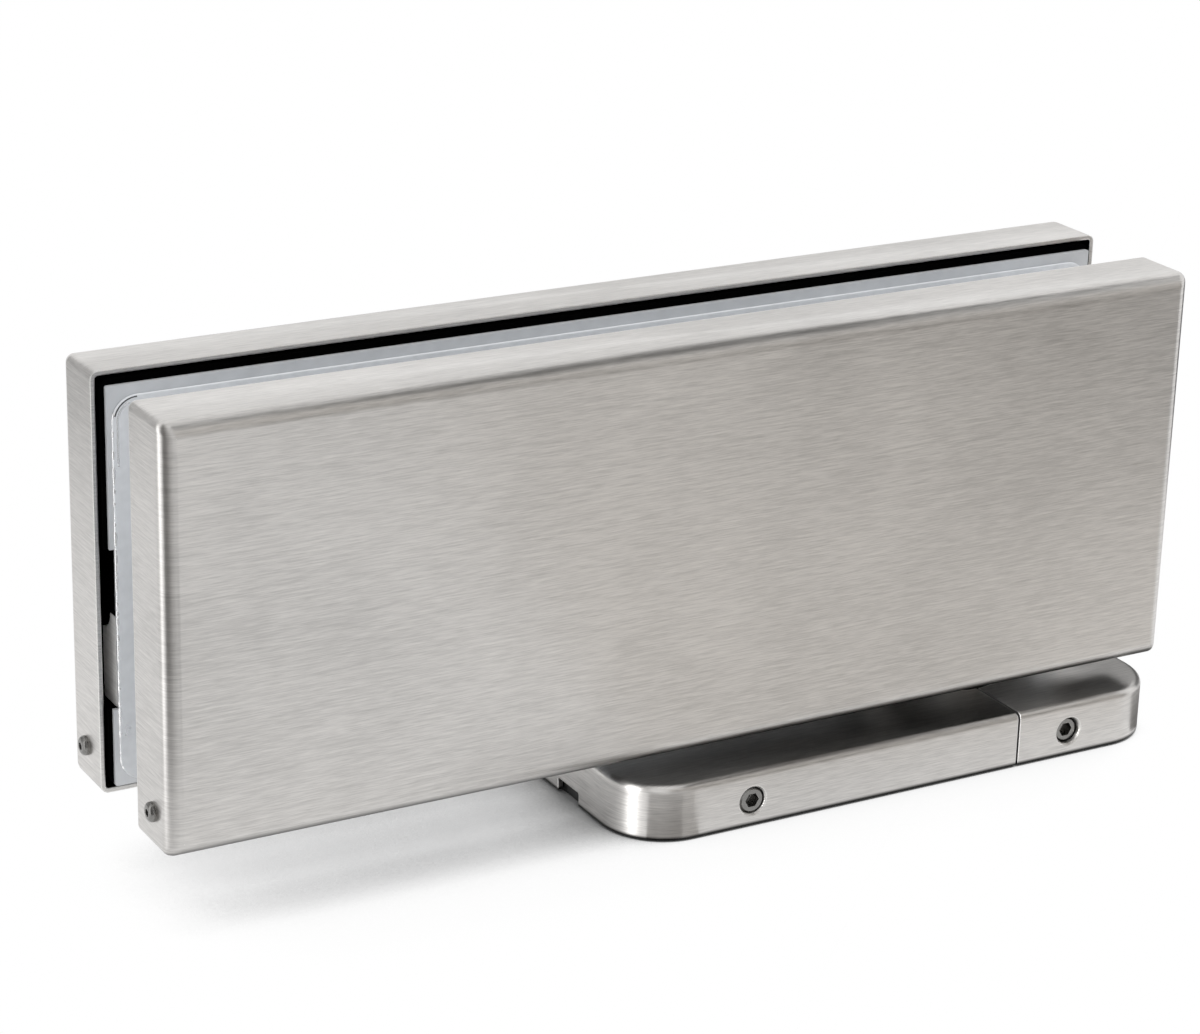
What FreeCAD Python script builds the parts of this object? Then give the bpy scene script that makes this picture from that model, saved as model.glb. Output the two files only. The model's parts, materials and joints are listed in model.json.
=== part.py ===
"""Free swing door hinge: a clamp fitting for a glass door that turns on a floor pivot.

Millimetres. The origin is the pivot axis at floor level. +X runs to the hinge edge of the door,
+Y to the back and +Z up. The front half lies at negative Y and mirrors the rear half.
"""

import FreeCAD
import Part
import Sketcher
import math
import os
import re

# Every driving dimension, in millimetres.
SIZES = {
    # Layers from the middle of the glass slot outwards
    "glass_slot": 12.4,
    "pad_thickness": 0.65,
    "plate_thickness": 0.8,
    "cover_setback": 0.7,
    # Pan covers
    "cover_length": 205.0,
    "cover_height": 76.0,
    "cover_depth": 13.3,
    "cover_wall": 0.8,
    "cover_corner": 1.4,
    "cover_edge": 2.8,
    "cover_lift": 15.6,
    "hinge_edge": 34.6,
    "spindle_passage": 1.5,
    # Cast clamp bodies
    "body_gap": 0.5,
    "body_back_gap": 0.3,
    "body_corner": 2.4,
    "end_pocket_depth": 1.8,
    "end_pocket_width": 8.5,
    "end_pocket_height": 29.1,
    "core_depth": 8.0,
    "core_length": 32.0,
    "core_height": 30.0,
    "core_margin": 5.0,
    "core_rib": 4.0,
    "core_corner": 3.0,
    # Backing plates and glass pads
    "plate_inset": 0.8,
    "plate_top_inset": 1.1,
    "plate_bottom_inset": 0.3,
    "plate_corner": 0.4,
    "plate_block_gap": 0.4,
    "pad_margin": 1.0,
    "pad_top_margin": 2.0,
    "pad_corner": 4.2,
    "pad_block_gap": 1.4,
    # Carrier bars
    "bar_rise": 14.5,
    "bar_height": 16.6,
    "bar_depth": 6.0,
    "bar_cove": 3.6,
    "bar_edge": 0.7,
    "bar_gap": 0.1,
    # Clamp bolts and sleeves
    "bolt_diameter": 6.0,
    "bolt_length": 30.0,
    "bolt_head_diameter": 10.0,
    "bolt_head_height": 4.0,
    "bolt_socket": 4.0,
    "bolt_socket_depth": 2.3,
    "bolt_first": 22.3,
    "bolt_pitch": 50.0,
    "bolt_rise": 6.8,
    "bolt_seat_wall": 1.5,
    "bolt_tip_room": 1.0,
    "bolt_hole_gap": 0.3,
    "counterbore_gap": 0.6,
    "sleeve_wall": 2.3,
    "sleeve_bore_gap": 0.1,
    "sleeve_end_gap": 0.1,
    "sleeve_pad_gap": 0.3,
    "thread_gap": 0.03,
    # Domed screws of the covers
    "cover_screw_diameter": 2.0,
    "cover_screw_length": 6.0,
    "cover_screw_head": 3.5,
    "cover_screw_dome": 1.1,
    "cover_screw_rim": 0.3,
    "cover_screw_socket": 1.3,
    "cover_screw_socket_depth": 0.6,
    "cover_screw_rise": 6.5,
    "cover_screw_hole_gap": 0.2,
    "cover_screw_tip_room": 0.5,
    # Pivot block and its screws
    "block_width": 36.0,
    "block_depth": 34.0,
    "block_gap": 0.3,
    "block_roof": 3.0,
    "block_chamfer": 0.8,
    "block_screw_diameter": 4.0,
    "block_screw_length": 10.0,
    "block_screw_head": 7.6,
    "block_screw_socket": 2.5,
    "block_screw_socket_depth": 1.4,
    "block_screw_x": 12.0,
    "block_screw_drop": 10.0,
    "block_screw_tip_room": 0.5,
    # Spindle and its bearings
    "journal_diameter": 12.0,
    "journal_gap": 0.05,
    "journal_chamfer": 1.0,
    "shoulder_diameter": 20.0,
    "foot_width": 24.0,
    "foot_height": 4.0,
    "foot_gap": 0.1,
    "bush_wall": 2.0,
    "bush_length": 8.0,
    "bush_spacing": 2.0,
    "bush_fit": 0.02,
    "bore_room": 1.0,
    "spindle_end_room": 0.6,
    "race_thickness": 2.5,
    "race_diameter": 26.0,
    "race_bore_gap": 0.4,
    "race_groove": 0.5,
    "race_fit": 0.02,
    "race_running_gap": 0.3,
    "ball_diameter": 4.5,
    "ball_gap": 0.03,
    "ball_circle": 19.0,
    "cage_width": 5.6,
    "cage_thickness": 2.0,
    "cage_pocket_gap": 0.1,
    "seal_height": 2.3,
    "seal_gap": 0.3,
    "seal_lip_gap": 0.2,
    "seal_lip_height": 0.8,
    "seal_wall": 1.6,
    # Floor base
    "shell_reach": 83.1,
    "cap_reach": 34.6,
    "base_width": 49.2,
    "base_height": 10.75,
    "base_lift": 0.4,
    "base_wall": 1.0,
    "base_corner": 12.0,
    "base_edge": 1.3,
    "parting_gap": 0.5,
    "shell_spindle_gap": 0.8,
    "notch_width": 7.8,
    "notch_height": 2.9,
    "notch_corner": 0.5,
    "floor_plate_gap": 0.3,
    "floor_hole_diameter": 6.4,
    "floor_hole_countersink": 2.8,
    "floor_hole_spacing_x": 91.0,
    "floor_hole_spacing_y": 26.0,
    "floor_hole_middle": 0.75,
    # Set screws of the base
    "set_screw_diameter": 5.0,
    "set_screw_length": 8.0,
    "set_screw_socket": 2.5,
    "set_screw_socket_depth": 2.5,
    "set_screw_chamfer": 0.4,
    "set_screw_height": 5.0,
    "set_screw_hole_gap": 0.1,
    "set_screw_mouth": 0.3,
    "set_screw_tip_room": 0.5,
    "shell_screw_reach": 58.7,
    "shell_screw_recess": 0.3,
    "cap_screw_reach": 11.8,
    "cap_screw_recess": 1.0,
}

BOLT_COUNT = 3
CORE_COUNT = 4
BALL_COUNT = 10

# How far a cut starts outside the metal, and how near counts as the same place
OVERCUT = "1"
TOUCH = 0.0001

# Distances from the middle plane, along Y
PAD_FACE = "glass_slot / 2"
PLATE_FACE = f"({PAD_FACE} + pad_thickness)"
BODY_FACE = f"({PLATE_FACE} + plate_thickness)"
RIM_FACE = f"({BODY_FACE} + cover_setback)"
COVER_BACK = f"({RIM_FACE} + cover_depth)"
BODY_BACK = f"({COVER_BACK} - cover_wall - body_back_gap)"
BAR_BACK = f"({BODY_FACE} + bar_depth)"
BOLT_SEAT = f"({BAR_BACK} + bolt_seat_wall)"
BOLT_TIP = f"(bolt_length - {BOLT_SEAT})"
COVER_SCREW_Y = f"({RIM_FACE} + cover_depth / 2)"
BLOCK_SIDE = "block_depth / 2"
BASE_SIDE = "base_width / 2"
FLOOR_PLATE_SIDE = f"({BASE_SIDE} - base_wall - floor_plate_gap)"
SET_SCREW_TIP = f"({BASE_SIDE} - cap_screw_recess - set_screw_length - set_screw_tip_room)"
FLOOR_HOLES_Y = [f"({sign} * floor_hole_spacing_y / 2)" for sign in (-1, 1)]

# Places along X
COVER_LEFT = "(hinge_edge - cover_length)"
COVER_RIGHT = "hinge_edge"
BODY_LEFT = f"({COVER_LEFT} + cover_wall + body_gap)"
BODY_RIGHT = f"({COVER_RIGHT} - cover_wall - body_gap)"
PLATE_LEFT = f"({BODY_LEFT} + plate_inset)"
PLATE_RIGHT = f"({BODY_RIGHT} - plate_inset)"
BAR_LEFT = f"({BODY_LEFT} + end_pocket_depth)"
POCKET_X = "(block_width / 2 + block_gap)"
BOLT_PLACES = [f"({BAR_LEFT} + bolt_first + {index} * bolt_pitch)" for index in range(BOLT_COUNT)]
FLOOR_PLATE_LEFT = "(base_wall + floor_plate_gap - shell_reach)"
FLOOR_PLATE_RIGHT = "(cap_reach - base_wall - floor_plate_gap)"
FLOOR_HOLES_MIDDLE = f"(({FLOOR_PLATE_LEFT} + {FLOOR_PLATE_RIGHT}) / 2 + floor_hole_middle)"
FLOOR_HOLES_X = [f"({FLOOR_HOLES_MIDDLE} + {sign} * floor_hole_spacing_x / 2)" for sign in (-1, 1)]
SHELL_SCREW_X = "(-shell_screw_reach)"
CAP_SCREW_X = "cap_screw_reach"

# Heights above the floor
COVER_BOTTOM = "cover_lift"
COVER_TOP = "(cover_lift + cover_height)"
BODY_BOTTOM = f"({COVER_BOTTOM} + cover_wall + body_gap)"
BODY_TOP = f"({COVER_TOP} - cover_wall - body_gap)"
PLATE_BOTTOM = f"({BODY_BOTTOM} + plate_bottom_inset)"
PLATE_TOP = f"({BODY_TOP} - plate_top_inset)"
BAR_BOTTOM = f"({BODY_BOTTOM} + bar_rise)"
BAR_TOP = f"({BAR_BOTTOM} + bar_height)"
END_POCKET_TOP = f"({BAR_BOTTOM} + end_pocket_height)"
BOLT_HEIGHT = f"({BAR_BOTTOM} + bolt_rise)"
CORE_TOP = f"({BODY_TOP} - core_margin)"
COVER_SCREW_HEIGHT = f"({COVER_BOTTOM} + cover_screw_rise)"
FLOOR_PLATE_TOP = "(base_height - base_wall)"
SEAL_TOP = f"({BODY_BOTTOM} + seal_height)"
SHOULDER_TOP = f"({SEAL_TOP} + seal_gap)"
LOWER_RACE_TOP = f"({SHOULDER_TOP} + race_thickness)"
BALL_STAND = "(ball_diameter / 2 + ball_gap - race_groove)"
BALL_HEIGHT = f"({LOWER_RACE_TOP} + {BALL_STAND})"
UPPER_RACE_BOTTOM = f"({BALL_HEIGHT} + {BALL_STAND})"
UPPER_RACE_TOP = f"({UPPER_RACE_BOTTOM} + race_thickness)"
LOWER_BUSH_TOP = f"({UPPER_RACE_TOP} + bush_length)"
UPPER_BUSH_BOTTOM = f"({LOWER_BUSH_TOP} + bush_spacing)"
UPPER_BUSH_TOP = f"({UPPER_BUSH_BOTTOM} + bush_length)"
BORE_TOP = f"({UPPER_BUSH_TOP} + bore_room)"
SPINDLE_TOP = f"({BORE_TOP} - spindle_end_room)"
BLOCK_TOP = f"({BORE_TOP} + block_roof)"
BLOCK_SCREW_HEIGHT = f"({BLOCK_TOP} - block_screw_drop)"

# Radii
JOURNAL = "journal_diameter / 2"
SHOULDER = "shoulder_diameter / 2"
BUSH_BORE = f"({JOURNAL} + journal_gap)"
BUSH_OUTSIDE = f"({BUSH_BORE} + bush_wall)"
BLOCK_BORE = f"({BUSH_OUTSIDE} + bush_fit)"
RACE_OUTSIDE = "race_diameter / 2"
BEARING_BORE = f"({RACE_OUTSIDE} + race_fit)"
SEAL_LIP = f"({SHOULDER} + seal_lip_gap)"
BALL_PITCH = "ball_circle / 2"
BOLT_HOLE = "(bolt_diameter / 2 + bolt_hole_gap)"
BOLT_THREAD = "(bolt_diameter / 2 + thread_gap)"
SLEEVE_BORE = "(bolt_diameter / 2 + sleeve_bore_gap)"
SLEEVE_OUTSIDE = f"({SLEEVE_BORE} + sleeve_wall)"
BLOCK_SCREW_HOLE = "(block_screw_diameter / 2 + bolt_hole_gap)"
BLOCK_SCREW_CONE = "(block_screw_head - block_screw_diameter) / 2"

# The way a screw's head faces: its own +Z turned about an axis
FACES_FRONT = FreeCAD.Rotation(FreeCAD.Vector(1, 0, 0), 90)
FACES_REAR = FreeCAD.Rotation(FreeCAD.Vector(1, 0, 0), -90)
FACES_LEFT = FreeCAD.Rotation(FreeCAD.Vector(0, 1, 0), -90)
FACES_RIGHT = FreeCAD.Rotation(FreeCAD.Vector(0, 1, 0), 90)
UPRIGHT = FreeCAD.Rotation()

# Which way each half lies along Y
SIDES = {"front": -1, "rear": 1}

doc = FreeCAD.newDocument("door_hinge")
sheet = doc.addObject("Spreadsheet::Sheet", "Sizes")
nodes = []


def fill_sheet():
    """Write every size into the sheet under its own alias."""
    for row, (name, size) in enumerate(SIZES.items(), start=1):
        sheet.set(f"A{row}", name)
        sheet.set(f"B{row}", str(size))
        sheet.setAlias(f"B{row}", name)
    doc.recompute()


def bound(expression):
    """Return the expression with each size name pointed at its cell."""
    return re.sub(r"\b([a-z]\w*)\b(?!\()", r"Sizes.\1", expression)


def worth(expression):
    """Return what the expression is worth now, in millimetres."""
    return float(sheet.evalExpression(bound(expression)))


def new_body(name):
    """Add an empty body with this label."""
    body = doc.addObject("PartDesign::Body", name)
    body.Label = name
    return body


def node(item):
    """Count this object among the pieces that are written out."""
    nodes.append(item)
    return item


# Sketches

def sketch_on(body, plane, offset="0"):
    """Add a sketch on one of the body's origin planes, moved along that plane's normal."""
    role = f"{plane}_Plane"
    support = next(item for item in body.Origin.OriginFeatures if item.Role == role)
    sketch = body.newObject("Sketcher::SketchObject", f"{body.Name}_sketch")
    sketch.AttachmentSupport = (support, "")
    sketch.MapMode = "FlatFace"
    sketch.setExpression("AttachmentOffset.Base.z", bound(offset))
    return sketch


def sketch_beside(body, side, distance):
    """Add an upright sketch at this distance from the middle plane, on the front or rear side."""
    return sketch_on(body, "XZ", f"{-SIDES[side]} * ({distance})")


def pin_point(sketch, geometry, point, x, y):
    """Fix one point of a sketch's geometry to a place given by two expressions."""
    for kind, axis, expression in (("DistanceX", -2, x), ("DistanceY", -1, y)):
        if expression == "0":
            sketch.addConstraint(Sketcher.Constraint("PointOnObject", geometry, point, axis))
            continue
        distance = Sketcher.Constraint(kind, -1, 1, geometry, point, worth(expression))
        index = sketch.addConstraint(distance)
        sketch.setExpression(f"Constraints[{index}]", bound(expression))


def outline(sketch, points):
    """Draw a closed outline through points that are pairs of expressions."""
    corners = [FreeCAD.Vector(worth(x), worth(y), 0) for x, y in points]
    first = sketch.GeometryCount
    for start, end in zip(corners, corners[1:] + corners[:1]):
        sketch.addGeometry(Part.LineSegment(start, end))
    for index, (x, y) in enumerate(points):
        before = first + (index - 1) % len(points)
        sketch.addConstraint(Sketcher.Constraint("Coincident", before, 2, first + index, 1))
        pin_point(sketch, first + index, 1, x, y)


def rectangle(sketch, left, right, low, high):
    """Draw a rectangle between two places across and two places up."""
    outline(sketch, [(left, low), (right, low), (right, high), (left, high)])


def circle(sketch, x, y, radius):
    """Draw a circle about a point."""
    centre = FreeCAD.Vector(worth(x), worth(y), 0)
    geometry = sketch.addGeometry(Part.Circle(centre, FreeCAD.Vector(0, 0, 1), worth(radius)))
    pin_point(sketch, geometry, 3, x, y)
    index = sketch.addConstraint(Sketcher.Constraint("Radius", geometry, worth(radius)))
    sketch.setExpression(f"Constraints[{index}]", bound(radius))


def hexagon(sketch, across_flats):
    """Draw a hexagon about the sketch's origin, with two corners on its X axis."""
    corners = []
    for turn in range(0, 360, 60):
        reach = f"{across_flats} / 2 / cos(30)"
        up = "0" if turn % 180 == 0 else f"{reach} * sin({turn})"
        corners.append((f"{reach} * cos({turn})", up))
    outline(sketch, corners)


# Features

def feature(body, kind, sketch, length, reverse):
    """Add a pad or a pocket of a sketch."""
    item = body.newObject(f"PartDesign::{kind}", f"{body.Name}_{kind}")
    item.Profile = sketch
    item.Reversed = reverse
    item.setExpression("Length", bound(length))
    return item


def grow(body, sketch, length, reverse=False):
    """Pad a sketch along its normal."""
    return feature(body, "Pad", sketch, length, reverse)


def grow_outwards(body, side, sketch, length):
    """Pad a sketch away from the middle plane."""
    return feature(body, "Pad", sketch, length, side == "rear")


def cut_along(body, sketch, length):
    """Cut a sketch into the body along its normal."""
    return feature(body, "Pocket", sketch, length, True)


def cut_against(body, sketch, length):
    """Cut a sketch into the body against its normal."""
    return feature(body, "Pocket", sketch, length, False)


def cut_outwards(body, side, sketch, length):
    """Cut a sketch into the body away from the middle plane."""
    return feature(body, "Pocket", sketch, length, side == "front")


def cut_inwards(body, side, sketch, length):
    """Cut a sketch into the body towards the middle plane."""
    return feature(body, "Pocket", sketch, length, side == "rear")


def cut_through(body, sketch):
    """Cut a sketch through the whole body, both ways."""
    item = body.newObject("PartDesign::Pocket", f"{body.Name}_Pocket")
    item.Profile = sketch
    item.Type = "ThroughAll"
    item.SideType = "Symmetric"
    return item


def spin(body, sketch, kind="Revolution"):
    """Turn an upright sketch about the Z axis, to add metal or, as a Groove, to cut it."""
    item = body.newObject(f"PartDesign::{kind}", f"{body.Name}_{kind}")
    item.Profile = sketch
    item.ReferenceAxis = (sketch, ["V_Axis"])
    item.Angle = 360
    return item


def places_of(shape, axis):
    """List where the corners of an edge or face lie along one axis."""
    return [getattr(vertex.Point, axis) for vertex in shape.Vertexes]


def lies_at(axis, expression):
    """Make a test for edges and faces that lie wholly at one place along an axis."""
    place = worth(expression)
    return lambda shape: all(abs(value - place) < TOUCH for value in places_of(shape, axis))


def runs_along(axis):
    """Make a test for straight edges that are parallel to an axis."""
    def test(edge):
        extent = {name: max(places_of(edge, name)) - min(places_of(edge, name)) for name in "xyz"}
        length = extent.pop(axis)
        return max(extent.values()) < TOUCH and abs(edge.Length - length) < TOUCH
    return test


def spans(axis, low, high):
    """Make a test for edges that reach from one place to another along an axis."""
    ends = sorted((worth(low), worth(high)))

    def test(edge):
        places = places_of(edge, axis)
        return abs(min(places) - ends[0]) < TOUCH and abs(max(places) - ends[1]) < TOUCH
    return test


def both(one, other):
    """Make a test that passes where two tests pass."""
    return lambda shape: one(shape) and other(shape)


def either(one, other):
    """Make a test that passes where one of two tests passes."""
    return lambda shape: one(shape) or other(shape)


def dress(body, kind, size_name, size, test):
    """Add a fillet or a chamfer to the edges that pass a test."""
    doc.recompute()
    base = body.Tip
    names = [f"Edge{index}" for index, edge in enumerate(base.Shape.Edges, start=1) if test(edge)]
    item = body.newObject(f"PartDesign::{kind}", f"{body.Name}_{kind}")
    item.Base = (base, names)
    item.setExpression(size_name, bound(size))


def round_off(body, radius, test):
    """Round the edges that pass a test."""
    dress(body, "Fillet", "Radius", radius, test)


def bevel(body, size, test):
    """Chamfer the edges that pass a test."""
    dress(body, "Chamfer", "Size", size, test)


def hollow(body, wall, test):
    """Leave an even wall, open at the faces that pass a test."""
    doc.recompute()
    base = body.Tip
    names = [f"Face{index}" for index, face in enumerate(base.Shape.Faces, start=1) if test(face)]
    item = body.newObject("PartDesign::Thickness", f"{body.Name}_Thickness")
    item.Base = (base, names)
    item.setExpression("Value", bound(wall))


def ring(name, inside, outside, low, high):
    """Turn a plain ring about the pivot axis."""
    body = node(new_body(name))
    sketch = sketch_on(body, "XZ")
    rectangle(sketch, inside, outside, low, high)
    spin(body, sketch)
    return body


def copies(name, pattern, places):
    """Group copies of one piece, each turned and set at its own place."""
    links = []
    for index, (x, y, z, turn) in enumerate(places, start=1):
        link = doc.addObject("App::Link", f"{name}_{index}")
        link.LinkedObject = pattern
        link.Placement = FreeCAD.Placement(FreeCAD.Vector(), turn)
        for axis, expression in zip("xyz", (x, y, z)):
            link.setExpression(f"Placement.Base.{axis}", bound(expression))
        links.append(link)
    group = node(doc.addObject("Part::Compound", name))
    group.Label = name
    group.Links = links


# Door half: covers, bodies, plates, pads and bars

def make_cover(side):
    """Drawn pan cover: rounded outside, even wall, open towards the glass."""
    sign = SIDES[side]
    body = node(new_body(f"{side}_cover"))
    outside = sketch_beside(body, side, RIM_FACE)
    rectangle(outside, COVER_LEFT, COVER_RIGHT, COVER_BOTTOM, COVER_TOP)
    grow_outwards(body, side, outside, "cover_depth")
    round_off(body, "cover_corner", runs_along("y"))
    inside = sketch_beside(body, side, RIM_FACE)
    rectangle(
        inside, f"{COVER_LEFT} + cover_wall", f"{COVER_RIGHT} - cover_wall",
        f"{COVER_BOTTOM} + cover_wall", f"{COVER_TOP} - cover_wall",
    )
    cut_outwards(body, side, inside, "cover_depth - cover_wall")
    back = f"{sign} * ({COVER_BACK} - cover_wall)"
    inner_corner = both(runs_along("y"), spans("y", f"{sign} * {RIM_FACE}", back))
    round_off(body, "cover_corner - cover_wall", inner_corner)
    round_off(body, "cover_edge - cover_wall", lies_at("y", back))
    round_off(body, "cover_edge", lies_at("y", f"{sign} * {COVER_BACK}"))
    screw_holes = sketch_on(body, "YZ")
    radius = "cover_screw_diameter / 2 + cover_screw_hole_gap"
    circle(screw_holes, f"{sign} * {COVER_SCREW_Y}", COVER_SCREW_HEIGHT, radius)
    cut_through(body, screw_holes)
    passage = sketch_on(body, "XY", f"{COVER_BOTTOM} - {OVERCUT}")
    circle(passage, "0", "0", f"{SHOULDER} + spindle_passage")
    cut_along(body, passage, f"{OVERCUT} + cover_wall + body_gap")


def make_body(side):
    """Cast clamp body: pockets for the pivot block and the bar, and cored out behind."""
    sign = SIDES[side]
    body = node(new_body(f"{side}_body"))
    sketch = sketch_beside(body, side, BODY_FACE)
    rectangle(sketch, BODY_LEFT, BODY_RIGHT, BODY_BOTTOM, BODY_TOP)
    grow_outwards(body, side, sketch, f"{BODY_BACK} - {BODY_FACE}")
    round_off(body, "body_corner", runs_along("y"))
    round_off(body, "cover_edge - cover_wall", lies_at("y", f"{sign} * {BODY_BACK}"))
    cut_cores(body, side)
    seat = sketch_beside(body, side, BODY_FACE)
    rectangle(seat, f"-{POCKET_X}", POCKET_X, f"{BODY_BOTTOM} - {OVERCUT}", f"{BLOCK_TOP} + block_gap")
    cut_outwards(body, side, seat, f"{BLOCK_SIDE} - {BODY_FACE}")
    slot = sketch_beside(body, side, BODY_FACE)
    rectangle(slot, f"{BODY_LEFT} - {OVERCUT}", f"-{POCKET_X}", BAR_BOTTOM, f"{BAR_TOP} + bar_gap")
    cut_outwards(body, side, slot, "bar_depth")
    end_pocket = sketch_beside(body, side, BODY_FACE)
    rectangle(end_pocket, f"{BODY_LEFT} - {OVERCUT}", BAR_LEFT, BAR_BOTTOM, END_POCKET_TOP)
    cut_outwards(body, side, end_pocket, "end_pocket_width")
    cut_bolt_holes(body, side)
    cut_block_screw_holes(body, side)
    for end, cut_end in ((BODY_LEFT, cut_along), (BODY_RIGHT, cut_against)):
        hole = sketch_on(body, "YZ", end)
        radius = "cover_screw_diameter / 2 + thread_gap"
        circle(hole, f"{sign} * {COVER_SCREW_Y}", COVER_SCREW_HEIGHT, radius)
        cut_end(body, hole, "cover_screw_length + cover_screw_tip_room - cover_wall - body_gap")


def cut_cores(body, side):
    """Core the back of a body out, with ribs between the cores."""
    sign = SIDES[side]
    sketch = sketch_beside(body, side, BODY_BACK)
    for index in range(CORE_COUNT):
        left = f"({BODY_LEFT} + core_margin + {index} * (core_length + core_rib))"
        rectangle(sketch, left, f"{left} + core_length", f"{CORE_TOP} - core_height", CORE_TOP)
    cut_inwards(body, side, sketch, "core_depth")
    wall = spans("y", f"{sign} * ({BODY_BACK} - core_depth)", f"{sign} * {BODY_BACK}")
    round_off(body, "core_corner", both(runs_along("y"), wall))


def cut_bolt_holes(body, side):
    """Cut the bolt holes: through and counterbored in the front body, blind in the rear one."""
    holes = sketch_beside(body, side, BODY_FACE)
    for x in BOLT_PLACES:
        circle(holes, x, BOLT_HEIGHT, BOLT_HOLE)
    if side == "rear":
        cut_outwards(body, side, holes, f"{BOLT_TIP} + bolt_tip_room - {BODY_FACE}")
        return
    cut_through(body, holes)
    heads = sketch_beside(body, side, BODY_BACK)
    for x in BOLT_PLACES:
        circle(heads, x, BOLT_HEIGHT, "bolt_head_diameter / 2 + counterbore_gap")
    cut_inwards(body, side, heads, f"{BODY_BACK} - {BOLT_SEAT}")


def cut_block_screw_holes(body, side):
    """Cut the countersunk holes for the screws that hold the pivot block."""
    back = f"{SIDES[side]} * {BODY_BACK}"
    holes = sketch_beside(body, side, BODY_BACK)
    for x in ("-block_screw_x", "block_screw_x"):
        circle(holes, x, BLOCK_SCREW_HEIGHT, BLOCK_SCREW_HOLE)
    cut_inwards(body, side, holes, f"{BODY_BACK} - {BLOCK_SIDE} + {OVERCUT}")
    middle = worth(BLOCK_SCREW_HEIGHT)
    reach = worth(BLOCK_SCREW_HOLE)
    mouth = both(lies_at("y", back), is_circle(reach, "z", middle))
    bevel(body, f"{BLOCK_SCREW_CONE} - bolt_hole_gap + thread_gap", mouth)


def is_circle(radius, axis, place):
    """Make a test for whole circles of one radius, centred at one place along an axis."""
    def test(edge):
        if len(edge.Vertexes) != 1:
            return False
        offset = getattr(edge.CenterOfMass, axis) - place
        return abs(edge.Length - 2 * math.pi * radius) < TOUCH and abs(offset) < TOUCH
    return test


def make_plate(side):
    """Thin backing plate on the clamp face, open at the pivot block and notched at the bar's end."""
    body = node(new_body(f"{side}_backing_plate"))
    gap_x = "(block_width / 2 + plate_block_gap)"
    gap_top = f"({BLOCK_TOP} + plate_block_gap)"
    sketch = sketch_beside(body, side, PLATE_FACE)
    outline(sketch, [
        (PLATE_LEFT, PLATE_BOTTOM), (f"-{gap_x}", PLATE_BOTTOM),
        (f"-{gap_x}", gap_top), (gap_x, gap_top),
        (gap_x, PLATE_BOTTOM), (PLATE_RIGHT, PLATE_BOTTOM),
        (PLATE_RIGHT, PLATE_TOP), (PLATE_LEFT, PLATE_TOP),
        (PLATE_LEFT, END_POCKET_TOP), (BAR_LEFT, END_POCKET_TOP),
        (BAR_LEFT, BAR_BOTTOM), (PLATE_LEFT, BAR_BOTTOM),
    ])
    for x in BOLT_PLACES:
        circle(sketch, x, BOLT_HEIGHT, BOLT_HOLE)
    grow_outwards(body, side, sketch, "plate_thickness")
    ends = either(lies_at("z", PLATE_BOTTOM), lies_at("z", PLATE_TOP))
    round_off(body, "plate_corner", both(runs_along("y"), ends))


def make_pad(side):
    """Soft pad on the backing plate, with large round corners."""
    body = node(new_body(f"{side}_glass_pad"))
    left = f"({PLATE_LEFT} + pad_margin)"
    right = f"({PLATE_RIGHT} - pad_margin)"
    low = f"({PLATE_BOTTOM} + pad_margin)"
    high = f"({PLATE_TOP} - pad_top_margin)"
    gap_x = "(block_width / 2 + pad_block_gap)"
    gap_top = f"({BLOCK_TOP} + pad_block_gap)"
    sketch = sketch_beside(body, side, PAD_FACE)
    outline(sketch, [
        (left, low), (f"-{gap_x}", low), (f"-{gap_x}", gap_top), (gap_x, gap_top),
        (gap_x, low), (right, low), (right, high), (left, high),
    ])
    for x in BOLT_PLACES:
        circle(sketch, x, BOLT_HEIGHT, f"{SLEEVE_OUTSIDE} + sleeve_pad_gap")
    grow_outwards(body, side, sketch, "pad_thickness")
    ends = either(lies_at("x", left), lies_at("x", right))
    round_off(body, "pad_corner", both(runs_along("y"), ends))


def make_bar(side):
    """Rolled carrier bar, coved along its upper back edge and rounded below. The rear one is threaded."""
    sign = SIDES[side]
    body = node(new_body(f"{side}_carrier_bar"))
    section = sketch_on(body, "YZ", BAR_LEFT)
    rectangle(section, f"{sign} * {BODY_FACE}", f"{sign} * {BAR_BACK}", BAR_BOTTOM, BAR_TOP)
    grow(body, section, f"-{POCKET_X} - {BAR_LEFT}")
    round_off(body, "bar_edge", both(runs_along("x"), lies_at("z", BAR_BOTTOM)))
    cove = sketch_on(body, "YZ")
    circle(cove, f"{sign} * {BAR_BACK}", BAR_TOP, "bar_cove")
    cut_through(body, cove)
    holes = sketch_on(body, "XZ")
    for x in BOLT_PLACES:
        circle(holes, x, BOLT_HEIGHT, BOLT_THREAD if side == "rear" else BOLT_HOLE)
    cut_through(body, holes)


# Screws, made upright with the head facing up

def drill_socket(body, height, across_flats, depth):
    """Sink a hexagon socket into the top of a screw."""
    sketch = sketch_on(body, "XY", height)
    hexagon(sketch, across_flats)
    cut_against(body, sketch, depth)


def make_cover_screws():
    """Domed socket screws through the end walls of the covers."""
    screw = new_body("cover_screw")
    shank = "cover_screw_diameter / 2"
    head = "cover_screw_head / 2"
    sketch = sketch_on(screw, "XZ")
    outline(sketch, [
        ("0", "-cover_screw_length"), (shank, "-cover_screw_length"), (shank, "0"),
        (head, "0"), (head, "cover_screw_dome"), ("0", "cover_screw_dome"),
    ])
    spin(screw, sketch)
    round_off(screw, "cover_screw_dome - cover_screw_rim", lies_at("z", "cover_screw_dome"))
    drill_socket(screw, "cover_screw_dome", "cover_screw_socket", "cover_screw_socket_depth")
    for side, sign in SIDES.items():
        y = f"{sign} * {COVER_SCREW_Y}"
        copies(f"{side}_cover_screws", screw, [
            (COVER_LEFT, y, COVER_SCREW_HEIGHT, FACES_LEFT),
            (COVER_RIGHT, y, COVER_SCREW_HEIGHT, FACES_RIGHT),
        ])


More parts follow.
